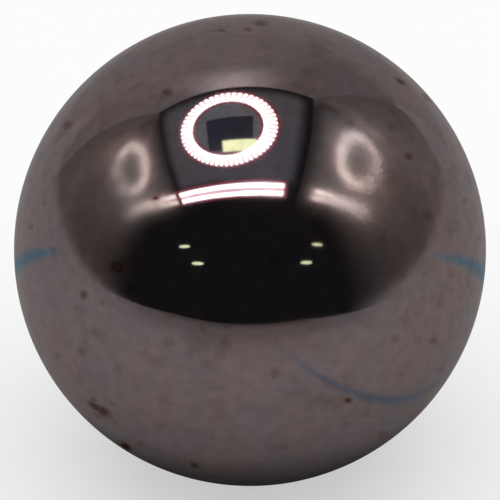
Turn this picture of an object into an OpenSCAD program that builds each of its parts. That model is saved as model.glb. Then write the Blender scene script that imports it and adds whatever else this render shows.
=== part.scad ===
// Loose ball of solid bearing steel, ground and polished all over.
// It is one piece with no hole, flat, seam or mark, so its diameter is its only size.

/* [Ball] */
// Diameter of the ball
ball_d = 25.4; // [1:0.1:100]

/* [Hidden] */
// Segments of the drawn sphere, enough for a smooth outline at any diameter
$fn = 180;

// The whole part: a true sphere about the origin, so it turns about its own centre
module ball() {
    color("dimgray") sphere(d = ball_d);
}

ball();
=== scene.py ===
"""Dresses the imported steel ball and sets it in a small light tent, seen as in the photograph."""

import functools
import logging
import math
import random
from dataclasses import dataclass, field
from enum import Enum
from typing import Any, Mapping, Optional, Protocol, Sequence, Union

import bmesh
import bpy
from mathutils import Matrix, Vector
from mathutils.kdtree import KDTree


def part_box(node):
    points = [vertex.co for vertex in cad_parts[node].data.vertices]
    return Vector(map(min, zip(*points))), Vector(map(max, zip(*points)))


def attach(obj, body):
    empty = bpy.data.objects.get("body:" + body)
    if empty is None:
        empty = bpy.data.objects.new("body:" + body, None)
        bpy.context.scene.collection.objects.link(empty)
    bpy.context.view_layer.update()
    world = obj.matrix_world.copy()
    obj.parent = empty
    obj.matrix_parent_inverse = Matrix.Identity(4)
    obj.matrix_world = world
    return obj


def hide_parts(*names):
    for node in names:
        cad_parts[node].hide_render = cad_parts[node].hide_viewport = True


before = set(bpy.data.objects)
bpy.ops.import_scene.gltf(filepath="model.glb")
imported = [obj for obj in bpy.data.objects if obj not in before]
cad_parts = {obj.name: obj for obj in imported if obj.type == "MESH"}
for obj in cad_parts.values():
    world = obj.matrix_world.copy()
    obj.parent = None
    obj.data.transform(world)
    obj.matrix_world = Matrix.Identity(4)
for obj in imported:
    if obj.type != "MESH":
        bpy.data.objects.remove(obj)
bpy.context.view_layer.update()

LOG = logging.getLogger("steel_ball")
BODY = "root"

Colour = tuple[float, float, float]
Pair = tuple[float, float]
Place = tuple[float, float, float]
Socket = bpy.types.NodeSocket
Feed = Union[float, str, Sequence[float], Socket]

WHITE: Colour = (1.0, 1.0, 1.0)
# Painted shade: the colour of the dark glowing sheet in the tent's open front, and of the foil towards it.
FRONT_PAINTED_SHADE: Colour = (0.045, 0.047, 0.055)
NOISE_MIDDLE = 0.5
BETWEEN_IMAGES = 1.5
ROUND_CORNERS = 64
STEEPEST_SLANT = 0.35
STAIN_REACH = 1.2


def rgba(colour: Colour) -> tuple[float, float, float, float]:
    """Returns a colour with full alpha."""
    return (*colour, 1.0)


def span(low: float, high: float) -> Pair:
    """Returns the middle and the half length of a stretch."""
    return (low + high) / 2, (high - low) / 2


def level_pair(turn_deg: float) -> tuple[Vector, Vector]:
    """Returns a level direction, turned from X by an angle, and the level one to its left."""
    turned = Matrix.Rotation(math.radians(turn_deg), 3, "Z")
    return turned @ Vector((1, 0, 0)), turned @ Vector((0, 1, 0))


def linked(name: str, data: bpy.types.ID) -> bpy.types.Object:
    """Makes an object and links it to the scene.

    Args:
        name: the object's name.
        data: its mesh, camera or light.

    Returns:
        The object, at the origin.
    """
    made = bpy.data.objects.new(name, data)
    bpy.context.scene.collection.objects.link(made)
    return made


@dataclass(frozen=True)
class Grain:
    """A noise pattern: waves per metre, octaves of finer waves, and how strong those are."""

    scale: float
    detail: float = 3.0
    rough: float = 0.6


class NodeBench:
    """Adds and joins the nodes of one shader or geometry tree."""

    def __init__(self, tree: bpy.types.NodeTree) -> None:
        """Keeps the tree that the other methods add to."""
        self.tree = tree

    def add(
        self, kind: str, inputs: Optional[Mapping[Union[str, int], Feed]] = None, **settings: Any
    ) -> bpy.types.Node:
        """Adds one node and feeds its inputs.

        Args:
            kind: Blender's name for the node's type.
            inputs: what goes into each input, by its name or number.
            settings: properties to set on the node.

        Returns:
            The new node.
        """
        node = self.tree.nodes.new(kind)
        for name, value in settings.items():
            setattr(node, name, value)
        for name, source in (inputs or {}).items():
            self.feed(node.inputs[name], source)
        return node

    def feed(self, target: Socket, source: Feed) -> None:
        """Links a socket to the target, or sets the target to a fixed value.

        Args:
            target: the input socket.
            source: an output socket, a number, a text or a list of numbers.
        """
        if isinstance(source, Socket):
            self.tree.links.new(source, target)
        else:
            target.default_value = source

    def math(self, operation: str, *values: Feed) -> Socket:
        """Returns the result of a Math node on one, two or three values."""
        return self.add("ShaderNodeMath", dict(enumerate(values)), operation=operation).outputs[0]

    def vector(self, operation: str, *values: Feed, result: str = "Vector") -> Socket:
        """Returns one result, Vector or Value, of a Vector Math node."""
        return self.add("ShaderNodeVectorMath", dict(enumerate(values)), operation=operation).outputs[result]

    def scaled(self, vector: Feed, factor: Feed) -> Socket:
        """Returns a vector times a number."""
        inputs = {"Vector": vector, "Scale": factor}
        return self.add("ShaderNodeVectorMath", inputs, operation="SCALE").outputs["Vector"]

    def ramp(self, value: Feed, low: float, high: float, start: float = 0.0, end: float = 1.0) -> Socket:
        """Builds a smooth, clamped change from start to end as a value goes from low to high.

        Args:
            value: the value to follow.
            low: where the change begins.
            high: where it ends.
            start: the result up to low.
            end: the result from high on.

        Returns:
            The socket of the result.
        """
        inputs = {"Value": value, "From Min": low, "From Max": high, "To Min": start, "To Max": end}
        return self.add("ShaderNodeMapRange", inputs, interpolation_type="SMOOTHSTEP").outputs["Result"]

    def noise(self, where: Feed, grain: Grain) -> Socket:
        """Returns a noise pattern, from 0 to 1, read at a place."""
        inputs = {"Vector": where, "Scale": grain.scale, "Detail": grain.detail, "Roughness": grain.rough}
        return self.add("ShaderNodeTexNoise", inputs).outputs["Fac"]

    def blend(self, factor: Feed, first: Feed, second: Feed) -> Socket:
        """Returns a colour mixed from two by a factor; the node's colour sockets go by number."""
        return self.add("ShaderNodeMix", {0: factor, 6: first, 7: second}, data_type="RGBA").outputs[2]

    def mixed(self, factor: Feed, first: Socket, second: Socket) -> Socket:
        """Returns a shader mixed from two by a factor."""
        return self.add("ShaderNodeMixShader", {0: factor, 1: first, 2: second}).outputs[0]

    def glow(self, colour: Colour, strength: Feed = 1.0) -> Socket:
        """Returns the shader of an even glow."""
        return self.add("ShaderNodeEmission", {"Color": rgba(colour), "Strength": strength}).outputs[0]

    def clear(self) -> Socket:
        """Returns a shader that lets everything through."""
        return self.add("ShaderNodeBsdfTransparent").outputs[0]

    def attribute(self, name: str) -> Socket:
        """Returns the value of one of the mesh's attributes."""
        return self.add("ShaderNodeAttribute", attribute_name=name).outputs["Fac"]

    def place(self) -> Socket:
        """Returns the Object coordinates."""
        return self.add("ShaderNodeTexCoord").outputs["Object"]

    def place_parts(self) -> list[Socket]:
        """Returns the X, Y and Z of the Object coordinates."""
        return list(self.add("ShaderNodeSeparateXYZ", {0: self.place()}).outputs)

    def seen(self) -> Socket:
        """Tells what is seen from what only lights.

        Returns:
            A socket that is 1 to the eye, in mirrors and through glass, and 0 to diffuse light.
        """
        path = self.add("ShaderNodeLightPath").outputs
        straight = self.math("MAXIMUM", path["Is Camera Ray"], path["Is Glossy Ray"])
        return self.math("MAXIMUM", straight, path["Is Transmission Ray"])

    def image_of_image(self) -> Socket:
        """Returns 1 where a mirror image is mirrored again, and 0 elsewhere."""
        bounces = self.add("ShaderNodeLightPath").outputs["Glossy Depth"]
        return self.math("GREATER_THAN", bounces, BETWEEN_IMAGES)


class Cover(Protocol):
    """A finish that can build its own shader."""

    def shader(self, bench: NodeBench) -> Socket:
        """Builds the shader on a material's bench and returns its socket."""


def make_material(name: str, cover: Cover) -> bpy.types.Material:
    """Makes a node material from a finish.

    Args:
        name: the material's name.
        cover: the finish.

    Returns:
        The material.
    """
    material = bpy.data.materials.new(name)
    material.use_nodes = True
    material.node_tree.nodes.clear()
    bench = NodeBench(material.node_tree)
    bench.add("ShaderNodeOutputMaterial", {"Surface": cover.shader(bench)})
    return material


def new_tree(name: str, inputs: Mapping[str, str]) -> tuple[NodeBench, bpy.types.NodeOutputs]:
    """Makes an empty geometry tree with named inputs.

    Args:
        name: the tree's name.
        inputs: the inputs that follow Geometry, each with its kind of socket.

    Returns:
        A bench for the tree's nodes, and the sockets of its inputs.
    """
    tree = bpy.data.node_groups.new(name, "GeometryNodeTree")
    for label, kind in {"Geometry": "Geometry", **inputs}.items():
        tree.interface.new_socket(label, in_out="INPUT", socket_type=f"NodeSocket{kind}")
    tree.interface.new_socket("Geometry", in_out="OUTPUT", socket_type="NodeSocketGeometry")
    bench = NodeBench(tree)
    return bench, bench.add("NodeGroupInput").outputs


def end_tree(bench: NodeBench, flow: Socket, finish: Socket) -> bpy.types.NodeTree:
    """Ends a geometry tree in Realize Instances and Set Material.

    Args:
        bench: the bench of the tree.
        flow: the geometry so far.
        finish: the material that it gets.

    Returns:
        The finished tree.
    """
    realized = bench.add("GeometryNodeRealizeInstances", {"Geometry": flow}).outputs["Geometry"]
    dressed = bench.add("GeometryNodeSetMaterial", {"Geometry": realized, "Material": finish})
    bench.add("NodeGroupOutput", {"Geometry": dressed.outputs["Geometry"]})
    return bench.tree


def grown(
    name: str, start: bpy.types.Mesh, tree: bpy.types.NodeTree, values: Mapping[str, Any]
) -> bpy.types.Mesh:
    """Runs a geometry tree on a mesh.

    Args:
        name: the name of the result.
        start: the mesh that goes in.
        tree: the tree.
        values: what goes into the tree's named inputs.

    Returns:
        The result as a plain mesh.
    """
    rough = linked(f"rough_{name}", start)
    modifier = rough.modifiers.new(name, "NODES")
    modifier.node_group = tree
    for item in tree.interface.items_tree:
        if item.in_out == "INPUT" and item.name in values:
            modifier[item.identifier] = values[item.name]
    graph = bpy.context.evaluated_depsgraph_get()
    mesh = bpy.data.meshes.new_from_object(rough.evaluated_get(graph), depsgraph=graph)
    rough.modifiers.remove(modifier)
    bpy.data.objects.remove(rough)
    mesh.name = name
    return mesh


@dataclass(frozen=True)
class PhotoView:
    """Where the photograph was taken from, and how the ball sits in its 500 by 500 pixels."""

    picture_px: float = 500.0
    ball_radius_px: float = 236.1
    elevation_deg: float = 32.0
    distance_radii: float = 16.0
    sensor_mm: float = 36.0
    sight_radii: Pair = (1.0, 400.0)

    def axes(self) -> tuple[Vector, Vector, Vector]:
        """Finds the view's directions.

        Returns:
            The directions to the right, up, and towards the eye.
        """
        rise = math.radians(self.elevation_deg)
        right = Vector((1, 0, 0))
        up = Vector((0, math.sin(rise), math.cos(rise)))
        toward = Vector((0, -math.cos(rise), math.sin(rise)))
        return right, up, toward

    def eye(self, radius: float) -> Vector:
        """Returns the camera's place for a ball of a radius in metres."""
        return self.axes()[2] * (radius * self.distance_radii)

    def half_field(self) -> float:
        """Returns the tangent of half the field of view, from the ball's size in the picture."""
        ball_half = math.tan(math.asin(1 / self.distance_radii))
        return ball_half * (self.picture_px / 2) / self.ball_radius_px

    def surface_point(self, column: float, row: float, radius: float) -> Vector:
        """Finds the point of the ball that a pixel shows.

        Args:
            column: pixels from the left of the picture.
            row: pixels from its top.
            radius: the ball's radius, in metres.

        Returns:
            The point on the ball, or on its rim for a pixel just outside it.
        """
        right, up, toward = self.axes()
        middle = self.picture_px / 2
        per_pixel = self.half_field() / middle
        sideways = right * ((column + 0.5 - middle) * per_pixel)
        upwards = up * ((middle - row - 0.5) * per_pixel)
        ray = (sideways + upwards - toward).normalized()
        eye = self.eye(radius)
        along = -eye.dot(ray)
        inside = along**2 - eye.length_squared + radius**2
        reach = along - math.sqrt(max(inside, 0.0))
        return (eye + ray * reach).normalized() * radius

    def mirror_ray(self, column: float, row: float, radius: float) -> tuple[Vector, Vector]:
        """Follows a pixel's line of sight to the ball and on from its mirror.

        Args:
            column: pixels from the left of the picture.
            row: pixels from its top.
            radius: the ball's radius, in metres.

        Returns:
            The point on the ball, and the direction that it mirrors there.
        """
        point = self.surface_point(column, row, radius)
        sight = (point - self.eye(radius)).normalized()
        return point, sight.reflect(point.normalized())

    def pixel_size(self, radius: float) -> float:
        """Returns the width of a pixel on the ball, in metres."""
        return radius / self.ball_radius_px

    def make_camera(self, radius: float) -> bpy.types.Object:
        """Makes the camera and sets it as the scene's.

        Args:
            radius: the ball's radius, in metres.

        Returns:
            The camera object.
        """
        data = bpy.data.cameras.new("photo_camera")
        data.sensor_width = self.sensor_mm
        data.lens = self.sensor_mm / 2 / self.half_field()
        data.clip_start, data.clip_end = (radius * limit for limit in self.sight_radii)
        camera = linked("photo_camera", data)
        camera.location = self.eye(radius)
        camera.rotation_mode = "QUATERNION"
        camera.rotation_quaternion = (-self.axes()[2]).to_track_quat("-Z", "Y")
        bpy.context.scene.camera = camera
        return camera


class Tone(Enum):
    """How far a speck has rusted: its rust, its stain, and its pit's depth as a share of its width."""

    FAINT = (0.0, 0.28, 0.0)
    LIGHT = (0.0, 0.46, 0.0)
    BROWN = (0.0, 0.72, 0.004)
    DARK = (0.5, 0.95, 0.012)
    RUSTED = (1.0, 1.0, 0.012)

    @property
    def rust(self) -> float:
        """Strength of the rust, from 0 to 1."""
        return self.value[0]

    @property
    def stain(self) -> float:
        """Strength of the brown stain round the rust, from 0 to 1."""
        return self.value[1]

    @property
    def depth_share(self) -> float:
        """Depth of the pit over its width."""
        return self.value[2]


@dataclass(frozen=True)
class SeenSpeck:
    """One rust speck that the photograph shows, in its pixels."""

    column: float
    row: float
    width: float
    tone: Tone
    stretch: float = 1.0
    turn_deg: float = 0.0


SEEN_SPECKS = (
    SeenSpeck(95, 406, 9, Tone.DARK, 1.4, -30),
    SeenSpeck(102, 411, 8, Tone.DARK, 1.6, -25),
    SeenSpeck(93, 400, 5, Tone.LIGHT, 1.3, 60),
    SeenSpeck(98, 415, 5, Tone.LIGHT, 1.4, -20),
    SeenSpeck(112, 403, 4, Tone.FAINT),
    SeenSpeck(166, 92, 7, Tone.BROWN, 1.2),
    SeenSpeck(162, 97, 4, Tone.FAINT, 1.4),
    SeenSpeck(67, 124.5, 6, Tone.BROWN, 1.3, 20),
    SeenSpeck(400, 81, 4, Tone.DARK, 2.4, -32),
    SeenSpeck(426, 97, 5, Tone.BROWN, 1.5, -50),
    SeenSpeck(348, 400, 4.4, Tone.DARK, 1.4),
    SeenSpeck(83, 294, 6, Tone.BROWN),
    SeenSpeck(433, 341, 6, Tone.LIGHT, 1.3),
    SeenSpeck(194, 465, 5, Tone.DARK, 1.3, -20),
    SeenSpeck(125, 446, 7, Tone.RUSTED, 1.8, -30),
    SeenSpeck(140, 443, 6, Tone.LIGHT),
    SeenSpeck(117, 267, 9, Tone.DARK, 1.2),
    SeenSpeck(130, 287, 6, Tone.LIGHT),
    SeenSpeck(155, 197, 5, Tone.DARK, 1.3),
    SeenSpeck(221, 30, 3, Tone.BROWN, 2.3, -12),
    SeenSpeck(247, 29, 2.8, Tone.BROWN, 2.3, -10),
    SeenSpeck(212, 30, 3, Tone.FAINT, 1.5),
    SeenSpeck(260.4, 22.6, 6, Tone.BROWN, 1.7),
    SeenSpeck(408, 156, 6, Tone.BROWN),
    SeenSpeck(428, 216, 7, Tone.LIGHT, 1.2),
    SeenSpeck(440, 369, 4, Tone.LIGHT, 1.4),
    SeenSpeck(307, 70, 6, Tone.FAINT, 1.4),
    SeenSpeck(82, 351, 6, Tone.LIGHT, 1.2),
    SeenSpeck(391, 127, 6, Tone.FAINT),
    SeenSpeck(464, 200, 4, Tone.LIGHT),
    SeenSpeck(76, 307, 5, Tone.FAINT),
    SeenSpeck(102, 302, 5, Tone.FAINT),
    SeenSpeck(57, 355, 5, Tone.LIGHT),
    SeenSpeck(144, 353, 5, Tone.FAINT),
    SeenSpeck(222, 344, 7, Tone.FAINT),
    SeenSpeck(202, 327, 6, Tone.FAINT),
    SeenSpeck(169, 342, 6, Tone.FAINT, 1.5),
    SeenSpeck(207, 364, 6, Tone.FAINT, 1.6),
    SeenSpeck(118, 368, 7, Tone.FAINT),
    SeenSpeck(274, 372, 7, Tone.LIGHT),
    SeenSpeck(467, 284, 4, Tone.FAINT),
    SeenSpeck(450, 274, 5, Tone.FAINT),
    SeenSpeck(425, 274, 5, Tone.FAINT),
    SeenSpeck(404, 319, 7, Tone.FAINT),
    SeenSpeck(395, 338, 6, Tone.FAINT),
    SeenSpeck(346, 385, 6, Tone.FAINT),
    SeenSpeck(345, 423, 6, Tone.FAINT),
    SeenSpeck(382, 434, 7, Tone.LIGHT, 1.2),
    SeenSpeck(30, 226, 5, Tone.LIGHT),
    SeenSpeck(44, 203, 4, Tone.FAINT),
    SeenSpeck(370, 58, 4, Tone.FAINT),
    SeenSpeck(478, 238, 4, Tone.FAINT),
    SeenSpeck(434, 179, 5, Tone.FAINT),
)


@dataclass(frozen=True)
class Pit:
    """A rust speck on the ball, in metres in the row frame."""

    centre: Vector
    facing: Vector
    along: Vector
    half_width: float
    stretch: float
    tone: Tone

    @property
    def depth(self) -> float:
        """Depth of the pit at its middle, in metres."""
        return 2 * self.half_width * self.tone.depth_share

    @property
    def reach(self) -> float:
        """How far from its centre the speck and its stain go, in metres."""
        slant = max(self.centre.normalized().dot(self.facing), STEEPEST_SLANT)
        return self.half_width * (self.stretch + STAIN_REACH) / slant


@dataclass
class RustScatter:
    """All the rust specks: those seen in the photograph, and a like scatter on the unseen side."""

    view: PhotoView
    radius: float
    soft_edge: float = 1.08
    unseen_count: int = 110
    seed: int = 7
    seen_cap_deg: float = 84.0
    width_range: Pair = (0.2e-3, 0.5e-3)
    stretch_range: Pair = (1.0, 1.7)
    tone_shares: tuple[tuple[Tone, float], ...] = (
        (Tone.FAINT, 0.45),
        (Tone.LIGHT, 0.24),
        (Tone.BROWN, 0.21),
        (Tone.DARK, 0.07),
        (Tone.RUSTED, 0.03),
    )

    def seen(self) -> list[Pit]:
        """Places the specks that the photograph shows.

        Returns:
            The specks, on the ball.
        """
        right, up, toward = self.view.axes()
        pixel = self.view.pixel_size(self.radius)
        pits = []
        for speck in SEEN_SPECKS:
            centre = self.view.surface_point(speck.column, speck.row, self.radius)
            turn = math.radians(speck.turn_deg)
            along = right * math.cos(turn) + up * math.sin(turn)
            half = speck.width * pixel * self.soft_edge / 2
            pits.append(Pit(centre, toward, along, half, speck.stretch, speck.tone))
        return pits

    def unseen(self) -> list[Pit]:
        """Scatters seeded specks over the part of the ball that the photograph doesn't show.

        Returns:
            The specks, on the ball.
        """
        draw = random.Random(self.seed)
        toward = self.view.axes()[2]
        limit = math.cos(math.radians(self.seen_cap_deg))
        tones, shares = zip(*self.tone_shares)
        pits: list[Pit] = []
        while len(pits) < self.unseen_count:
            normal = Vector([draw.gauss(0, 1) for _ in range(3)]).normalized()
            swing = Vector([draw.gauss(0, 1) for _ in range(3)])
            width = draw.uniform(*self.width_range)
            stretch = draw.uniform(*self.stretch_range)
            tone = draw.choices(tones, shares)[0]
            if normal.dot(toward) > limit:
                continue
            along = normal.cross(swing).normalized()
            pits.append(Pit(normal * self.radius, normal, along, width / 2, stretch, tone))
        return pits

    def all(self) -> list[Pit]:
        """Returns every speck on the ball."""
        return self.seen() + self.unseen()


@dataclass(frozen=True)
class PolishedSteel:
    """The ball's finish: dark mirror steel, faintly blotched, with rust in its specks.

    Bands give the values of a noise or a mask between which one look passes into the next.
    """

    warm: Colour = (0.134, 0.102, 0.099)
    cool: Colour = (0.123, 0.101, 0.104)
    patch: Colour = (0.072, 0.043, 0.039)
    stain: Colour = (0.0576, 0.0274, 0.0254)
    rust: Colour = (0.021, 0.0068, 0.0062)
    blotches: Grain = Grain(260.0, 2.0, 0.55)
    patches: Grain = Grain(700.0)
    mottle: Grain = Grain(1500.0)
    haze: Grain = Grain(156.0)
    crumbs: Grain = Grain(14000.0, 3.0, 0.65)
    blotch_band: Pair = (0.36, 0.64)
    patch_band: Pair = (0.52, 0.75)
    mottle_band: Pair = (0.3, 0.7)
    haze_band: Pair = (0.35, 0.75)
    rust_gate: Pair = (0.02, 0.15)
    rust_band: Pair = (0.1, 1.0)
    dull_band: Pair = (0.1, 0.8)
    metal_band: Pair = (0.3, 1.0)
    patch_share: float = 0.35
    mottle_strength: float = 0.16
    crumb_bite: float = 0.5
    crumb_height: float = 1.2e-5
    even_share: float = 0.85
    mirror_roughness: float = 0.035
    haze_roughness: float = 0.075
    rust_roughness: float = 0.62

    def shader(self, bench: NodeBench) -> Socket:
        """Builds the finish from Object coordinates and the speck attributes.

        An even mirror is mixed into the metal, because plain metal turns white at the ball's rim.

        Args:
            bench: the bench of the material's tree.

        Returns:
            The socket of the shader.
        """
        place = bench.place()
        rusted = bench.attribute("rust")
        crumbs = bench.noise(place, self.crumbs)
        uneven = bench.math("SUBTRACT", crumbs, NOISE_MIDDLE)
        broken = bench.math("MULTIPLY_ADD", uneven, self.crumb_bite, rusted)
        gate = bench.ramp(rusted, *self.rust_gate)
        mask = bench.math("MULTIPLY", bench.ramp(broken, *self.rust_band), gate)
        steel = self.steel_colour(bench, place)
        tinted = bench.blend(bench.attribute("stain"), steel, rgba(self.stain))
        colour = bench.blend(mask, tinted, rgba(self.rust))

        haze = bench.noise(place, self.haze)
        gloss = bench.ramp(haze, *self.haze_band, self.mirror_roughness, self.haze_roughness)
        dull = bench.ramp(mask, *self.dull_band, 0.0, self.rust_roughness)
        height = bench.math("MULTIPLY", crumbs, mask)
        relief = bench.add("ShaderNodeBump", {"Height": height, "Distance": self.crumb_height})
        skin = {"Roughness": bench.math("MAXIMUM", gloss, dull), "Normal": relief.outputs["Normal"]}

        metal = {"Metallic": bench.ramp(mask, *self.metal_band, 1.0, 0.0), "Specular IOR Level": 0.0}
        plain = bench.add("ShaderNodeBsdfPrincipled", {"Base Color": colour, **metal, **skin})
        even = bench.add("ShaderNodeBsdfAnisotropic", {"Color": colour, **skin})
        share = bench.ramp(mask, *self.metal_band, self.even_share, 0.0)
        return bench.mixed(share, plain.outputs["BSDF"], even.outputs["BSDF"])

    def steel_colour(self, bench: NodeBench, place: Socket) -> Socket:
        """Builds the clean steel's colour: wide warm and cool blotches under a fine mottle.

        Args:
            bench: the bench of the material's tree.
            place: the Object coordinates.

        Returns:
            The socket of the colour.
        """
        warmth = bench.ramp(bench.noise(place, self.blotches), *self.blotch_band)
        tone = bench.blend(warmth, rgba(self.cool), rgba(self.warm))
        worn = bench.ramp(bench.noise(place, self.patches), *self.patch_band, 0.0, self.patch_share)
        tone = bench.blend(worn, tone, rgba(self.patch))
        swing = self.mottle_strength / 2
        shade = bench.ramp(bench.noise(place, self.mottle), *self.mottle_band, 1 - swing, 1 + swing)
        return bench.scaled(tone, shade)


@dataclass
class PolishedBall:
    """The ball itself: a sphere graded finely round its specks, with shallow pits sunk in it."""

    radius: float
    pits: list[Pit]
    finish: PolishedSteel = field(default_factory=PolishedSteel)
    base_cuts: int = 6
    cut_rounds: int = 3
    fine_edge: float = 0.07e-3
    faint_edge: float = 0.14e-3
    ragged_scale: float = 4200.0
    ragged_share: float = 1.3
    bowl_band: Pair = (1.3, 0.35)
    halo_band: Pair = (1.9, 0.4)
    film_share: float = 1e-4

    def graded_sphere(self) -> bpy.types.Mesh:
        """Makes a sphere of triangles whose edges are shortest round the specks.

        Returns:
            The sphere's mesh.
        """
        shape = bmesh.new()
        bmesh.ops.create_icosphere(shape, subdivisions=self.base_cuts, radius=self.radius)
        finder = KDTree(len(self.pits))
        for index, pit in enumerate(self.pits):
            finder.insert(pit.centre, index)
        finder.balance()
        widest = max(pit.reach for pit in self.pits)
        for _ in range(self.cut_rounds):
            coarse = [edge for edge in shape.edges if self.too_long(edge, finder, widest)]
            bmesh.ops.subdivide_edges(shape, edges=coarse, cuts=1, use_grid_fill=True)
            loose = [face for face in shape.faces if len(face.verts) > 3]
            bmesh.ops.triangulate(shape, faces=loose)
            for vert in shape.verts:
                vert.co = vert.co.normalized() * self.radius
        mesh = bpy.data.meshes.new("graded_sphere")
        shape.to_mesh(mesh)
        shape.free()
        return mesh

    def too_long(self, edge: bmesh.types.BMEdge, finder: KDTree, widest: float) -> bool:
        """Tells whether an edge is too long for the specks that it lies in.

        Args:
            edge: the edge to look at.
            finder: the specks' centres.
            widest: the reach of the widest speck.

        Returns:
            True if the edge needs a cut.
        """
        length = edge.calc_length()
        if length <= self.fine_edge:
            return False
        middle = (edge.verts[0].co + edge.verts[1].co) / 2
        for _, index, distance in finder.find_range(middle, widest + length / 2):
            pit = self.pits[index]
            allowed = self.fine_edge if pit.depth > 0 else self.faint_edge
            if length > allowed and distance < pit.reach + length / 2:
                return True
        return False

    def pit_points(self) -> bpy.types.Object:
        """Makes one point for each speck, with the speck's sizes as attributes.

        Returns:
            The object of the points.
        """
        mesh = bpy.data.meshes.new("pit_points")
        mesh.from_pydata([pit.centre for pit in self.pits], [], [])
        for name, values in (
            ("half_width", [pit.half_width for pit in self.pits]),
            ("stretch", [pit.stretch for pit in self.pits]),
            ("depth", [pit.depth for pit in self.pits]),
            ("rust_share", [pit.tone.rust for pit in self.pits]),
            ("stain_share", [pit.tone.stain for pit in self.pits]),
        ):
            mesh.attributes.new(name, "FLOAT", "POINT").data.foreach_set("value", values)
        for name, vectors in (
            ("along", [pit.along for pit in self.pits]),
            ("facing", [pit.facing for pit in self.pits]),
        ):
            flat = [part for vector in vectors for part in vector]
            mesh.attributes.new(name, "FLOAT_VECTOR", "POINT").data.foreach_set("vector", flat)
        return linked("pit_points", mesh)

    def skin_tree(self) -> bpy.types.NodeTree:
        """Builds the tree that sinks the pits and writes the rust and stain attributes.

        Returns:
            A geometry tree with the inputs Pits, Ragged Scale, Ragged Share and Finish.
        """
        kinds = {"Pits": "Object", "Ragged Scale": "Float", "Ragged Share": "Float", "Finish": "Material"}
        bench, given = new_tree("pitted_skin", kinds)
        place = bench.add("GeometryNodeInputPosition").outputs["Position"]
        info = bench.add("GeometryNodeObjectInfo", {"Object": given["Pits"]}, transform_space="ORIGINAL")
        points = info.outputs["Geometry"]
        spot = {"Geometry": points, "Sample Position": place}
        index = bench.add("GeometryNodeSampleNearest", spot, domain="POINT").outputs["Index"]
        value = functools.partial(self.sampled, bench, points, index, "FLOAT")
        vector = functools.partial(self.sampled, bench, points, index, "FLOAT_VECTOR")
        half = value("half_width")
        facing = vector("facing")
        along = vector("along")

        wave = bench.add("ShaderNodeTexNoise", {"Vector": place, "Scale": given["Ragged Scale"]})
        sway = bench.vector("SUBTRACT", wave.outputs["Color"], (NOISE_MIDDLE,) * 3)
        sway = bench.scaled(sway, bench.math("MULTIPLY", given["Ragged Share"], half))
        offset = bench.vector("ADD", bench.vector("SUBTRACT", place, vector("position")), sway)
        outward = bench.vector("DOT_PRODUCT", offset, facing, result="Value")
        offset = bench.vector("SUBTRACT", offset, bench.scaled(facing, outward))
        lengthwise = bench.vector("DOT_PRODUCT", offset, along, result="Value")
        crosswise = bench.vector("SUBTRACT", offset, bench.scaled(along, lengthwise))
        across = bench.vector("LENGTH", crosswise, result="Value")
        shortened = bench.math("DIVIDE", lengthwise, value("stretch"))
        square = bench.math("MULTIPLY_ADD", across, across, bench.math("POWER", shortened, 2.0))
        far = bench.math("DIVIDE", bench.math("SQRT", square), half)
        bowl = bench.ramp(far, *self.bowl_band)
        halo = bench.ramp(far, *self.halo_band)

        sink = bench.math("MULTIPLY", value("depth"), bench.math("MULTIPLY", bowl, -1.0))
        inward = bench.scaled(bench.vector("NORMALIZE", place), sink)
        sunk = bench.add("GeometryNodeSetPosition", {"Geometry": given["Geometry"], "Offset": inward})
        flow = sunk.outputs["Geometry"]
        for name, amount, share in (("rust", bowl, "rust_share"), ("stain", halo, "stain_share")):
            strength = bench.math("MULTIPLY", amount, value(share))
            kept = {"Geometry": flow, "Name": name, "Value": strength}
            kind = {"data_type": "FLOAT", "domain": "POINT"}
            flow = bench.add("GeometryNodeStoreNamedAttribute", kept, **kind).outputs["Geometry"]
        return end_tree(bench, flow, given["Finish"])

    @staticmethod
    def sampled(bench: NodeBench, points: Socket, index: Socket, kind: str, name: str) -> Socket:
        """Reads one attribute of the nearest speck.

        Args:
            bench: the bench of the tree.
            points: the specks' points.
            index: which point is nearest.
            kind: the attribute's data type.
            name: the attribute's name.

        Returns:
            The socket of the value.
        """
        attribute = bench.add("GeometryNodeInputNamedAttribute", {"Name": name}, data_type=kind)
        wanted = {"Geometry": points, "Value": attribute.outputs["Attribute"], "Index": index}
        sample = bench.add("GeometryNodeSampleIndex", wanted, data_type=kind, domain="POINT")
        return sample.outputs["Value"]

    def true_normals(self, mesh: bpy.types.Mesh) -> None:
        """Gives the polished skin the sphere's exact normals, so that its mirror image is clean.

        Args:
            mesh: the finished mesh; its pits keep the normals of their own faces.
        """
        mesh.polygons.foreach_set("use_smooth", [True] * len(mesh.polygons))
        film = self.radius * self.film_share
        normals = []
        for vert in mesh.vertices:
            sunk = min(1.0, max(0.0, (self.radius - vert.co.length) / film))
            normals.append(vert.co.normalized().lerp(vert.normal, sunk).normalized())
        mesh.normals_split_custom_set_from_vertices(normals)

    def build(self) -> bpy.types.Object:
        """Makes the finished ball and gives it to the frame.

        Returns:
            The ball's object, at the origin with its place in its mesh.
        """
        pits = self.pit_points()
        values = {
            "Pits": pits,
            "Ragged Scale": self.ragged_scale,
            "Ragged Share": self.ragged_share,
            "Finish": make_material("polished_steel", self.finish),
        }
        mesh = grown("polished_ball", self.graded_sphere(), self.skin_tree(), values)
        bpy.data.objects.remove(pits)
        self.true_normals(mesh)
        ball = linked("polished_ball", mesh)
        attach(ball, BODY)
        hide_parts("ball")
        return ball


@dataclass(frozen=True)
class Glow:
    """An even glow. One that shows once is dark in the tent's own foil."""

    colour: Colour
    once: bool = False

    def shader(self, bench: NodeBench) -> Socket:
        """Returns the glow's shader on a material's bench."""
        strength = bench.math("SUBTRACT", 1.0, bench.image_of_image()) if self.once else 1.0
        return bench.glow(self.colour, strength)


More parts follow.
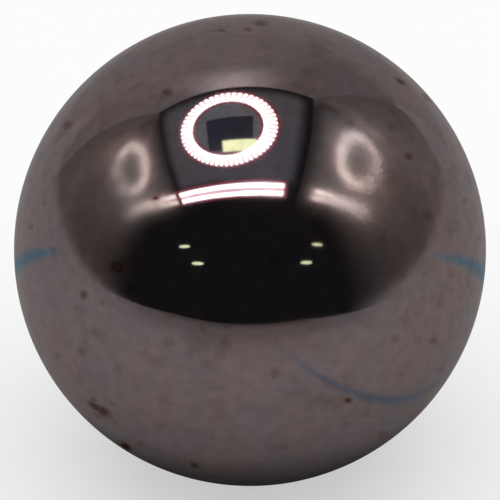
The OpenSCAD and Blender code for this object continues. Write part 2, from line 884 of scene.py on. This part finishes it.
@dataclass(frozen=True)
class VeiledGlow:
    """A glow that hides as much of what lies behind it as the mesh's cover attribute says."""

    colour: Colour

    def shader(self, bench: NodeBench) -> Socket:
        """Returns the glow's shader on a material's bench."""
        shown = bench.ramp(bench.attribute("cover"), 0.0, 1.0)
        return bench.mixed(shown, bench.clear(), bench.glow(self.colour))


@dataclass(frozen=True)
class PaintedLightSheet:
    """The tent's white back sheet as a glow: a painted pool of light under the lamps, and painted shade at
    both sides.
    """

    colour: Colour = (0.80, 0.79, 0.79)
    even: float = 1.03
    peak: float = 1.7
    peak_heights: Pair = (0.13, 0.215)
    peak_middle: float = -0.025
    peak_half: float = 0.085
    right_dim: float = 0.29
    right_band: Pair = (-0.01, 0.07)
    right_heights: Pair = (0.03, 0.08)
    left_dim: float = 0.17
    left_band: Pair = (-0.095, -0.145)

    def shader(self, bench: NodeBench) -> Socket:
        """Builds the sheet's glow.

        Args:
            bench: the bench of the material's tree.

        Returns:
            The socket of the shader.
        """
        across, _, height = bench.place_parts()
        # Painted light: a brighter pool high up in the middle, under the lamps.
        upper = bench.ramp(height, *self.peak_heights, 0.0, self.peak)
        off = bench.math("ABSOLUTE", bench.math("SUBTRACT", across, self.peak_middle))
        peak = bench.math("MULTIPLY", upper, bench.ramp(off, self.peak_half, 0.0))
        # Painted shade: the sheet is dimmed towards its right side above a low band, and towards its left
        # side.
        right = bench.ramp(across, *self.right_band, 0.0, self.right_dim)
        right = bench.math("MULTIPLY", right, bench.ramp(height, *self.right_heights))
        left = bench.ramp(across, *self.left_band, 0.0, self.left_dim)
        bright = bench.math("ADD", peak, self.even)
        return bench.glow(self.colour, bench.math("SUBTRACT", bright, bench.math("ADD", right, left)))


@dataclass(frozen=True)
class CrinkledFoil:
    """The tent's silver sides, with painted light and shade: a painted shade darkens them towards the open
    front, and a painted light makes them pale at the back corner.

    A sharp and a hazy mirror are mixed, so that lamps show in it with a soft halo.
    """

    corner: float
    roof: float
    silver_share: float
    sharp_roughness: float
    haze_share: float
    silver: Colour = (0.70, 0.68, 0.64)
    # Painted light: a faint glow of the foil itself, in place of light falling on it.
    painted_foil_glow: Colour = (0.118, 0.115, 0.110)
    haze_roughness: float = 0.40
    crinkle: Grain = Grain(260.0)
    crinkle_height: float = 2.4e-4
    # Painted reflection: a flat grey glow that stands in for the foil's image where another mirror shows it.
    again: Colour = (0.25, 0.25, 0.24)
    # Painted light: the pale glow that the foil passes into at the back corner.
    pale: Colour = (0.48, 0.47, 0.45)
    painted_light_reach: float = 0.035
    painted_shade_band: Pair = (-0.040, -0.127)
    lit_from: float = 0.10
    lit_shift: float = 0.085

    def shader(self, bench: NodeBench) -> Socket:
        """Builds the foil.

        Args:
            bench: the bench of the material's tree.

        Returns:
            The socket of the shader.
        """
        _, depth, height = bench.place_parts()
        waves = bench.noise(bench.place(), self.crinkle)
        relief = bench.add("ShaderNodeBump", {"Height": waves, "Distance": self.crinkle_height})
        surface = {
            "Base Color": rgba(tuple(part * self.silver_share for part in self.silver)),
            "Metallic": 1.0,
            "Normal": relief.outputs["Normal"],
            "Emission Color": rgba(self.painted_foil_glow),
            "Emission Strength": 1.0,
        }
        sharp, hazy = (
            bench.add("ShaderNodeBsdfPrincipled", {**surface, "Roughness": rough}).outputs["BSDF"]
            for rough in (self.sharp_roughness, self.haze_roughness)
        )
        foil = bench.mixed(self.haze_share, sharp, hazy)
        # Painted reflection: seen in another mirror, the foil shows the flat grey glow.
        foil = bench.mixed(bench.image_of_image(), foil, bench.glow(self.again))
        # Painted light: the foil passes into a pale glow at the back corner.
        corner = bench.ramp(depth, self.corner - self.painted_light_reach, self.corner)
        foil = bench.mixed(corner, foil, bench.glow(self.pale))
        # Painted shade: towards the open front the foil passes into a dark glow, which starts further forward
        # higher up.
        raised = bench.ramp(height, self.lit_from, self.roof, 0.0, self.lit_shift)
        dark = bench.ramp(bench.math("ADD", depth, raised), *self.painted_shade_band)
        return bench.mixed(dark, foil, bench.glow(FRONT_PAINTED_SHADE))


@dataclass(frozen=True)
class RoofSheet:
    """The tent's grey roof as a glow, painted light in place of the lit roof, which fades into a dark seam at
    its edges.
    """

    middle: Pair
    half: Pair
    colour: Colour = (0.45, 0.50, 0.57)
    soft: float = 0.034

    def shader(self, bench: NodeBench) -> Socket:
        """Builds the roof's glow.

        Args:
            bench: the bench of the material's tree.

        Returns:
            The socket of the shader.
        """
        masks = []
        for place, middle, half in zip(bench.place_parts(), self.middle, self.half):
            off = bench.math("ABSOLUTE", bench.math("SUBTRACT", place, middle))
            masks.append(bench.ramp(off, half, half - self.soft))
        # Painted light: the roof's grey glow, faded out at its edges.
        return bench.mixed(bench.math("MULTIPLY", *masks), bench.clear(), bench.glow(self.colour))


@dataclass(frozen=True)
class FrontShade:
    """A shade on the floor that deepens in two steps towards the open front."""

    front: float
    near_band: Pair = (-0.03, -0.11)
    step: float = 0.36
    colour: Colour = (0.04, 0.04, 0.045)

    def shader(self, bench: NodeBench) -> Socket:
        """Builds the shade.

        Args:
            bench: the bench of the material's tree.

        Returns:
            The socket of the shader.
        """
        _, depth, _ = bench.place_parts()
        near = bench.ramp(depth, *self.near_band, 0.0, self.step)
        far = bench.ramp(depth, self.near_band[1], self.front, 0.0, self.step)
        return bench.mixed(bench.math("ADD", near, far), bench.clear(), bench.glow(self.colour))


@dataclass(frozen=True)
class ContactShade:
    """A shade on the floor that deepens under the ball: a wide soft one and a tight dark one."""

    radius: float
    wide: float = 0.9
    fall: float = 4.0
    tight: float = 0.93
    tight_radii: float = 1.53
    colour: Colour = (0.01, 0.01, 0.012)

    def shader(self, bench: NodeBench) -> Socket:
        """Builds the shade.

        Args:
            bench: the bench of the material's tree.

        Returns:
            The socket of the shader.
        """
        away = bench.vector("LENGTH", bench.place(), result="Value")
        near = bench.math("POWER", bench.math("DIVIDE", self.radius, away), self.fall)
        wide = bench.math("MULTIPLY", near, self.wide)
        tight = bench.ramp(away, self.radius * self.tight_radii, self.radius, 0.0, self.tight)
        return bench.mixed(bench.math("MAXIMUM", wide, tight), bench.clear(), bench.glow(self.colour))


@dataclass(frozen=True)
class PaleFloor:
    """The floor's finish: white paper, part of whose white is its own, that fades away far out."""

    white: float = 0.94
    own_share: float = 0.50
    fade: Pair = (0.34, 0.66)

    def shader(self, bench: NodeBench) -> Socket:
        """Builds the paper.

        Args:
            bench: the bench of the material's tree.

        Returns:
            The socket of the shader.
        """
        paper = bench.add("ShaderNodeBsdfDiffuse", {"Color": rgba((self.white,) * 3)}).outputs["BSDF"]
        own = bench.math("MULTIPLY", bench.seen(), self.own_share)
        lit = bench.mixed(own, paper, bench.glow(WHITE))
        away = bench.vector("LENGTH", bench.place(), result="Value")
        return bench.mixed(bench.ramp(away, *self.fade), lit, bench.clear())


def mirror_only(made: bpy.types.Object) -> bpy.types.Object:
    """Sets an object so that only mirror images show it, and so that it blocks no light.

    Args:
        made: the object.

    Returns:
        The same object.
    """
    made.visible_camera = False
    made.visible_diffuse = False
    made.visible_transmission = False
    made.visible_shadow = False
    return made


class Lie(Enum):
    """Which way a panel lies: the directions of its two sides."""

    LEVEL = ((1, 0, 0), (0, 1, 0))
    ACROSS = ((1, 0, 0), (0, 0, 1))
    ALONG = ((0, 1, 0), (0, 0, 1))


@dataclass(frozen=True)
class Panel:
    """A flat panel of the light tent: its middle, half its two sides, how it lies, and its cover."""

    name: str
    middle: Place
    half: Pair
    lie: Lie
    cover: Cover
    is_round: bool = False
    turn_deg: float = 0.0

    def corners(self) -> list[Vector]:
        """Finds the panel's corners.

        Returns:
            The corners in order, many of them if the panel is round.
        """
        turned = Matrix.Rotation(math.radians(self.turn_deg), 3, "Z")
        middle = Vector(self.middle)
        u, v = (turned @ Vector(side) * half for side, half in zip(self.lie.value, self.half))
        if not self.is_round:
            return [middle - u - v, middle + u - v, middle + u + v, middle - u + v]
        turns = [math.tau * step / ROUND_CORNERS for step in range(ROUND_CORNERS)]
        return [middle + u * math.cos(turn) + v * math.sin(turn) for turn in turns]

    def build(self) -> bpy.types.Object:
        """Makes the panel.

        Returns:
            The panel's object.
        """
        corners = self.corners()
        mesh = bpy.data.meshes.new(self.name)
        mesh.from_pydata(corners, [], [tuple(range(len(corners)))])
        mesh.materials.append(make_material(self.name, self.cover))
        return mirror_only(linked(self.name, mesh))


@dataclass(frozen=True)
class TentSize:
    """The light tent's main sizes, in metres from the ball's centre.

    The tent shows only in mirror images, so that the floor stays plain and evenly lit.
    """

    radius: float
    left: float = -0.181
    right: float = 0.115
    back: float = 0.118
    front: float = -0.262
    roof: float = 0.247
    roof_left: float = -0.189
    roof_front: float = -0.134

    @property
    def floor(self) -> float:
        """Height of the floor that the ball stands on."""
        return -self.radius


@dataclass
class Surroundings:
    """The plain stage: a pale floor, white surroundings and one soft box overhead."""

    size: TentSize
    floor_finish: PaleFloor = field(default_factory=PaleFloor)
    floor_reach: float = 0.7
    floor_corners: int = 96
    fill_light: float = 0.62
    soft_size: float = 0.42
    soft_power: float = 0.50

    def build_floor(self) -> bpy.types.Object:
        """Makes the pale floor, which fades into the white surroundings.

        Returns:
            The floor's object.
        """
        shape = bmesh.new()
        bmesh.ops.create_circle(shape, cap_ends=True, segments=self.floor_corners, radius=self.floor_reach)
        mesh = bpy.data.meshes.new("pale_floor")
        shape.to_mesh(mesh)
        shape.free()
        mesh.transform(Matrix.Translation((0, 0, self.size.floor)))
        mesh.materials.append(make_material("pale_floor", self.floor_finish))
        floor = linked("pale_floor", mesh)
        return floor

    def build_world(self) -> None:
        """Makes the surroundings: white to the eye and in mirror images, a softer fill as light."""
        world = bpy.data.worlds.new("white_surroundings")
        world.use_nodes = True
        world.node_tree.nodes.clear()
        bench = NodeBench(world.node_tree)
        strength = bench.ramp(bench.seen(), 0.0, 1.0, self.fill_light, 1.0)
        sky = bench.add("ShaderNodeBackground", {"Color": rgba(WHITE), "Strength": strength})
        bench.add("ShaderNodeOutputWorld", {"Surface": sky.outputs["Background"]})
        bpy.context.scene.world = world

    def build_lamp(self) -> None:
        """Makes the soft box overhead that lights the floor and the ball."""
        light = bpy.data.lights.new("soft_box", "AREA")
        light.size = self.soft_size
        light.energy = self.soft_power
        lamp = linked("soft_box", light)
        lamp.location = (0, 0, self.size.roof)
        lamp.visible_glossy = False
        lamp.visible_camera = False

    def build(self) -> list[bpy.types.Object]:
        """Makes the whole plain stage.

        Returns:
            Its mesh objects.
        """
        self.build_world()
        self.build_lamp()
        return [self.build_floor()]


@dataclass(frozen=True)
class FloorLine:
    """A soft straight line on the floor sheet; its lengths are in ball radii.

    Its half width grows from its start, and its cover says how strongly it shows along its run.
    """

    name: str
    start: Vector
    run: Vector
    half: float
    spread: float
    cover: tuple[Pair, ...]
    colour: Colour

    def cover_at(self, along: float) -> float:
        """Finds how strongly the line shows at a place along it.

        Args:
            along: the place, in ball radii from its start.

        Returns:
            The cover, from 0 to 1.
        """
        for (first, low), (last, high) in zip(self.cover, self.cover[1:]):
            if first <= along <= last:
                return low + (high - low) * (along - first) / (last - first)
        return 0.0


def soft_sheet(
    name: str, places: list[Vector], cover: list[float], row: int, colour: Colour
) -> bpy.types.Object:
    """Makes a glowing sheet from rows of points, each point with its own cover.

    Args:
        name: the sheet's name.
        places: its points, row after row.
        cover: how much of what lies behind each point the sheet hides, from 0 to 1.
        row: points in a row.
        colour: the sheet's glow.

    Returns:
        The sheet's object.
    """
    starts = [start for start in range(len(places) - row) if start % row < row - 1]
    faces = [(start, start + row, start + row + 1, start + 1) for start in starts]
    mesh = bpy.data.meshes.new(name)
    mesh.from_pydata(places, [], faces)
    mesh.attributes.new("cover", "FLOAT", "POINT").data.foreach_set("value", cover)
    mesh.materials.append(make_material(name, VeiledGlow(colour)))
    return mirror_only(linked(name, mesh))


@dataclass
class FloorSheet:
    """The white sheet under the ball as it is mirrored: two soft glowing lines, and curled sides.

    Lines are in ball radii, the curls in metres. The curls rise more steeply behind the ball.
    """

    radius: float
    line_turn_deg: float = -1.7
    line_right: float = 1.17
    line_behind: float = 1.33
    right_width: Pair = (0.10, 0.03)
    behind_width: Pair = (0.11, 0.055)
    right_colour: Colour = (0.30, 0.62, 0.95)
    behind_colour: Colour = (0.44, 0.90, 1.17)
    right_cover: tuple[Pair, ...] = (
        (-6.5, 0.0), (-4.5, 0.32), (-2.5, 0.52), (-0.9, 0.70), (-0.3, 0.55), (0.3, 0.25), (0.8, 0.0),
    )
    behind_cover: tuple[Pair, ...] = ((2.0, 0.9), (4.0, 1.0), (6.4, 0.7), (10.7, 0.5), (18.0, 0.0))
    line_steps: int = 120
    line_shares: tuple[float, ...] = (-1.0, -0.5, 0.0, 0.5, 1.0)
    line_rise: float = 0.0001
    line_reach: float = 0.98
    curl_far: float = 0.112
    curl_soft: float = 0.006
    curl_white: Colour = (0.92, 0.92, 0.92)
    curl_steps: int = 48
    curl_turns_deg: Pair = (43.0, 140.0)
    curl_fade: float = 1.8
    curl_level: float = 0.0003
    curl_rise: float = 0.0157
    curl_lowest: float = -0.36
    curl_steep: float = 0.151
    curl_steep_from: float = 0.54

    def lines(self) -> list[FloorLine]:
        """Lays out the two soft lines, beside and behind the ball.

        Returns:
            The lines.
        """
        run, side = level_pair(self.line_turn_deg)
        beside, behind = run * self.line_right, side * self.line_behind
        both_ways = tuple((-place, cover) for place, cover in reversed(self.behind_cover)) + self.behind_cover
        return [
            FloorLine("line_beside", beside, side, *self.right_width, self.right_cover, self.right_colour),
            FloorLine("line_behind", behind, run, *self.behind_width, both_ways, self.behind_colour),
        ]

    def build_line(self, line: FloorLine) -> bpy.types.Object:
        """Makes one soft line on the sheet, carried up the sheet's curl where it gets there.

        Args:
            line: its place, run, widths and cover.

        Returns:
            The line's object.
        """
        across = Vector((-line.run.y, line.run.x, 0.0))
        first, last = line.cover[0][0], line.cover[-1][0]
        limit = self.curl_far * self.line_reach
        places, cover = [], []
        for step in range(self.line_steps + 1):
            along = first + (last - first) * step / self.line_steps
            half = line.half + line.spread * abs(along)
            for share in self.line_shares:
                place = (line.start + line.run * along + across * (half * share)) * self.radius
                place.z = self.line_rise - self.radius
                away = math.hypot(place.x, place.y)
                if away > limit:
                    place *= limit / away
                places.append(place)
                cover.append(line.cover_at(along) * (1 - abs(share)))
        return soft_sheet(line.name, places, cover, len(self.line_shares), line.colour)

    def curl_height(self, turn: float) -> float:
        """Finds how high the sheet curls up in one direction.

        Args:
            turn: the direction as an angle from straight behind the ball, in radians.

        Returns:
            The height of the sheet's edge, in metres from the ball's centre.
        """
        behind = math.cos(turn)
        gentle = self.curl_rise * max(behind, self.curl_lowest)
        steep = self.curl_steep * max(behind - self.curl_steep_from, 0.0)
        return self.curl_level + gentle + steep

    def build_curl(self, name: str, hand: int) -> bpy.types.Object:
        """Makes one curled side of the sheet, with a soft upper edge.

        Args:
            name: the side's name.
            hand: -1 for the left side and 1 for the right one.

        Returns:
            The side's object.
        """
        first, last = (math.radians(turn) for turn in self.curl_turns_deg)
        floor = -self.radius
        places, cover = [], []
        for step in range(self.curl_steps + 1):
            turn = first + (last - first) * step / self.curl_steps
            edge = self.curl_height(turn)
            shown = min(1.0, self.curl_fade * (last - turn))
            x = hand * self.curl_far * math.sin(turn)
            y = self.curl_far * math.cos(turn)
            rows = ((floor, shown), (edge - self.curl_soft, shown), (edge + self.curl_soft, 0.0))
            places += [Vector((x, y, max(height, floor))) for height, _ in rows]
            cover += [amount for _, amount in rows]
        return soft_sheet(name, places, cover, len(rows), self.curl_white)

    def build(self) -> list[bpy.types.Object]:
        """Makes the curls and the lines, and returns their objects."""
        curls = [self.build_curl("left_curl", -1), self.build_curl("right_curl", 1)]
        return curls + [self.build_line(line) for line in self.lines()]


@dataclass
class TentWalls:
    """The tent's back, sides, roof and open front, and the shades on its floor.

    Each foil's three numbers are its share of silver, its roughness and its share of haze.
    """

    size: TentSize
    wall_rise: float = 0.002
    wall_overlap: float = 0.003
    left_foil: tuple[float, float, float] = (0.74, 0.16, 0.52)
    right_foil: tuple[float, float, float] = (0.94, 0.13, 0.48)
    seam: Colour = (0.06, 0.06, 0.07)
    seam_rise: float = 0.001
    seam_width: float = 0.006
    opening_half: float = 0.9
    opening_height: float = 0.3
    shade_rise: float = 0.0002
    contact_half: float = 0.06
    contact_rise: float = 0.0003

    def panels(self) -> list[Panel]:
        """Lays out the walls, the roof and the shades.

        Returns:
            Their panels.
        """
        size = self.size
        across, wide = span(size.left, size.right)
        along, deep = span(size.front, size.back + self.wall_overlap)
        level, high = span(size.floor, size.roof + self.wall_rise)
        roof_x, roof_wide = span(size.roof_left, size.right)
        roof_y, roof_deep = span(size.roof_front, size.back)
        shade_y, shade_deep = span(size.front, 0.0)
        inside = (roof_wide - self.seam_width, roof_deep)
        opening = (self.opening_half, self.opening_height + size.radius)
        left = CrinkledFoil(size.back, size.roof, *self.left_foil)
        right = CrinkledFoil(size.back, size.roof, *self.right_foil)
        roof = RoofSheet((roof_x, roof_y), inside)
        seam_middle = (roof_x, roof_y, size.roof + self.seam_rise)
        contact = (0, 0, size.floor + self.contact_rise)
        shade = (0, shade_y, size.floor + self.shade_rise)
        return [
            Panel("back_sheet", (across, size.back, level), (wide, high), Lie.ACROSS, PaintedLightSheet()),
            Panel("left_foil", (size.left, along, level), (deep, high), Lie.ALONG, left),
            Panel("right_foil", (size.right, along, level), (deep, high), Lie.ALONG, right),
            Panel("roof_seam", seam_middle, (roof_wide, roof_deep), Lie.LEVEL, Glow(self.seam)),
            Panel("roof_panel", (roof_x, roof_y, size.roof), inside, Lie.LEVEL, roof),
            # Painted shade: the open front is a dark glowing sheet.
            Panel("open_front", (0, size.front, self.opening_height), opening, Lie.ACROSS, Glow(FRONT_PAINTED_SHADE)),
            Panel("contact_shade", contact, (self.contact_half,) * 2, Lie.LEVEL, ContactShade(size.radius)),
            Panel("front_shade", shade, (self.opening_half, shade_deep), Lie.LEVEL, FrontShade(size.front)),
        ]

    def build(self) -> list[bpy.types.Object]:
        """Makes the panels and returns their objects."""
        return [panel.build() for panel in self.panels()]


class Layer(Enum):
    """How far under the roof each layer of the lamps hangs, in metres."""

    RIM = 0.0005
    BED = 0.0007
    INNER_RIM = 0.0009
    INSIDE = 0.001
    HATCH = 0.0015
    FITTING = 0.002
    BAR_BED = 0.0025
    LAMP = 0.003


@dataclass
class TentLamps:
    """The lamps under the tent's roof and in its open front, as the ball mirrors them."""

    view: PhotoView
    size: TentSize
    glow: Colour = (17.0, 19.0, 19.0)
    rim: Colour = (1.3, 0.24, 0.36)
    bed: Colour = (6.0, 4.4, 4.8)
    ring_middle: Pair = (-0.041, 0.010)
    ring_inner: float = 0.0646
    ring_outer: float = 0.0893
    ring_rim: float = 0.006
    ring_lip: float = 0.005
    ring_tuck: float = 0.001
    ring_inside: Colour = (0.68, 0.80, 0.90)
    ring_chips: int = 54
    chip_share: float = 0.78
    hatch_shift: Pair = (0.0052, -0.0145)
    hatch_half: Pair = (0.0412, 0.0375)
    hatch: Colour = (0.15, 0.17, 0.24)
    hatch_lamp_shift: Pair = (0.022, -0.0440)
    hatch_lamp_half: Pair = (0.031, 0.0130)
    hatch_lamp: Colour = (7.2, 8.8, 5.1)
    bar_middle: Pair = (-0.0492, -0.1410)
    bar_half: float = 0.1252
    bar_row: float = 0.0123
    bar_gap: float = 0.0090
    bar_rim: float = 0.0075
    bar_turn_deg: float = 2.2
    spot_pixels: tuple[Pair, ...] = ((184, 246), (197, 263), (317, 244), (306, 262))
    spot_far: float = 0.15
    spot_half: Pair = (0.0086, 0.0023)
    spot: Colour = (5.2, 6.9, 4.3)

    def hung(self, middle: Sequence[float], shift: Sequence[float], layer: Layer) -> Place:
        """Returns a place in a layer under the roof, shifted from a middle."""
        return (middle[0] + shift[0], middle[1] + shift[1], self.size.roof - layer.value)

    def ring_panels(self) -> list[Panel]:
        """Lays out the ring lamp's rims and bed, and the hatch and small lamp inside it.

        Returns:
            Their panels.
        """
        middle = self.ring_middle
        rim = Glow(self.rim)
        panels = []
        for name, layer, reach, glow in (
            ("ring_rim", Layer.RIM, self.ring_outer + self.ring_rim, rim),
            ("ring_bed", Layer.BED, self.ring_outer - self.ring_tuck, Glow(self.bed)),
            ("ring_inner_rim", Layer.INNER_RIM, self.ring_inner, rim),
            ("ring_inside", Layer.INSIDE, self.ring_inner - self.ring_lip, Glow(self.ring_inside)),
        ):
            place = self.hung(middle, (0, 0), layer)
            panels.append(Panel(name, place, (reach, reach), Lie.LEVEL, glow, is_round=True))
        hatch = self.hung(middle, self.hatch_shift, Layer.HATCH)
        panels.append(Panel("hatch", hatch, self.hatch_half, Lie.LEVEL, Glow(self.hatch)))
        lamp = self.hung(middle, self.hatch_lamp_shift, Layer.FITTING)
        glow = Glow(self.hatch_lamp, once=True)
        panels.append(Panel("hatch_lamp", lamp, self.hatch_lamp_half, Lie.LEVEL, glow))
        return panels

    def bar_panels(self) -> list[Panel]:
        """Lays out the bar lamp: a rim, a bed, and two lit rows.

        Returns:
            Their panels.
        """
        _, side = level_pair(self.bar_turn_deg)
        step = side * (self.bar_row + self.bar_gap) / 2
        still = Vector((0, 0, 0))
        rim = (self.bar_half + self.bar_rim, self.bar_row + self.bar_gap / 2 + self.bar_rim)
        row = (self.bar_half, self.bar_row / 2)
        panels = []
        for name, layer, shift, half, colour in (
            ("bar_rim", Layer.FITTING, still, rim, self.rim),
            ("bar_bed", Layer.BAR_BED, still, (self.bar_half, self.bar_row), self.bed),
            ("bar_far_row", Layer.LAMP, step, row, self.glow),
            ("bar_near_row", Layer.LAMP, -step, row, self.glow),
        ):
            place = self.hung(self.bar_middle, shift, layer)
            panels.append(Panel(name, place, half, Lie.LEVEL, Glow(colour), turn_deg=self.bar_turn_deg))
        return panels

    def spot_panels(self) -> list[Panel]:
        """Lays out four small lamps in front, each where its mirror image falls in the picture.

        Returns:
            Their panels.
        """
        panels = []
        for number, pixel in enumerate(self.spot_pixels, start=1):
            start, away = self.view.mirror_ray(*pixel, self.size.radius)
            place = tuple(start + away * self.spot_far)
            glow = Glow(self.spot, once=True)
            panels.append(Panel(f"spot_{number}", place, self.spot_half, Lie.ACROSS, glow, is_round=True))
        return panels

    def ring_tree(self) -> bpy.types.NodeTree:
        """Builds the tree of the ring lamp: lamp chips set side by side round a circle.

        Returns:
            A geometry tree with the inputs Inner, Outer, Chips, Chip Share and Glow.
        """
        sizes = {"Inner": "Float", "Outer": "Float", "Chips": "Int", "Chip Share": "Float"}
        bench, given = new_tree("ring_lamp", {**sizes, "Glow": "Material"})
        middle = bench.math("MULTIPLY", bench.math("ADD", given["Inner"], given["Outer"]), 0.5)
        circle = bench.add("GeometryNodeMeshCircle", {"Vertices": given["Chips"], "Radius": middle})
        pitch = bench.math("DIVIDE", bench.math("MULTIPLY", given["Inner"], math.tau), given["Chips"])
        chip_size = {
            "Size X": bench.math("SUBTRACT", given["Outer"], given["Inner"]),
            "Size Y": bench.math("MULTIPLY", pitch, given["Chip Share"]),
            "Vertices X": 2,
            "Vertices Y": 2,
        }
        chip = bench.add("GeometryNodeMeshGrid", chip_size)
        outward = bench.add("GeometryNodeInputPosition").outputs["Position"]
        aim = bench.add("FunctionNodeAlignRotationToVector", {"Vector": outward}, axis="X")
        placing = {
            "Points": circle.outputs["Mesh"],
            "Instance": chip.outputs["Mesh"],
            "Rotation": aim.outputs["Rotation"],
        }
        placed = bench.add("GeometryNodeInstanceOnPoints", placing)
        return end_tree(bench, placed.outputs["Instances"], given["Glow"])

    def build_ring(self) -> bpy.types.Object:
        """Makes the ring lamp's lit chips under the roof.

        Returns:
            The ring's object.
        """
        values = {
            "Inner": self.ring_inner,
            "Outer": self.ring_outer,
            "Chips": self.ring_chips,
            "Chip Share": self.chip_share,
            "Glow": make_material("ring_lamp", Glow(self.glow)),
        }
        mesh = grown("ring_lamp", bpy.data.meshes.new("rough_ring"), self.ring_tree(), values)
        mesh.transform(Matrix.Translation(self.hung(self.ring_middle, (0, 0), Layer.LAMP)))
        return mirror_only(linked("ring_lamp", mesh))

    def build(self) -> list[bpy.types.Object]:
        """Makes all the lamps and returns their objects."""
        panels = self.ring_panels() + self.bar_panels() + self.spot_panels()
        return [self.build_ring()] + [panel.build() for panel in panels]


def main() -> None:
    """Builds the ball, the tent and the camera, and reports each piece."""
    logging.basicConfig(level=logging.INFO, format="%(name)s: %(message)s")
    bpy.context.scene.view_settings.view_transform = "Standard"
    low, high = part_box("ball")
    radius = (high[2] - low[2]) / 2
    view = PhotoView()
    size = TentSize(radius)
    pits = RustScatter(view, radius).all()
    ball = PolishedBall(radius, pits).build()
    LOG.info("%s: %d triangles, %d specks", ball.name, len(ball.data.polygons), len(pits))
    for assembly in (Surroundings(size), FloorSheet(radius), TentWalls(size), TentLamps(view, size)):
        for made in assembly.build():
            LOG.info("stage: %s", made.name)
    view.make_camera(radius)


if __name__ == "__main__":
    main()
